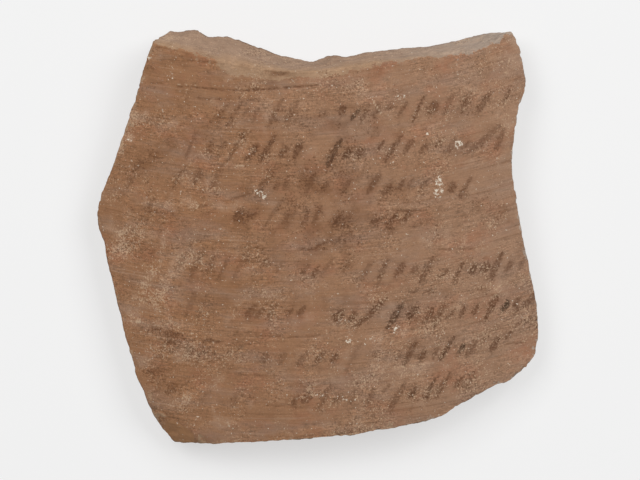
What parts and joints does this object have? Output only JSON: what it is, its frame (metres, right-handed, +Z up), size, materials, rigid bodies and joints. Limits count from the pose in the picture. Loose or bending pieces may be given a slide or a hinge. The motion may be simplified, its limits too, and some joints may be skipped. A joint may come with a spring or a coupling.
{
  "type": "ostracon",
  "caption": "Curved potsherd broken from the shoulder of a wheel-thrown jar, with faint rows of ink strokes on its convex face, lying arched on its worn corners.",
  "frame": {"origin": "on the table, below the middle of the sherd's bounding box, as it lies with its written side up", "axes": "+X to the right across the writing, +Y towards the jar's mouth and the top of the writing, +Z up out of the written side"},
  "size_m": [0.1052, 0.0984, 0.0208],
  "materials": {
    "fired_clay": "unglazed low-fired silt clay, matt and worn, reddish brown with greyer patches, paler on the breaks, with faded brown-black ink"
  },
  "bodies": {
    "root": {"sherd": "fired_clay"}
  },
  "joints": []
}
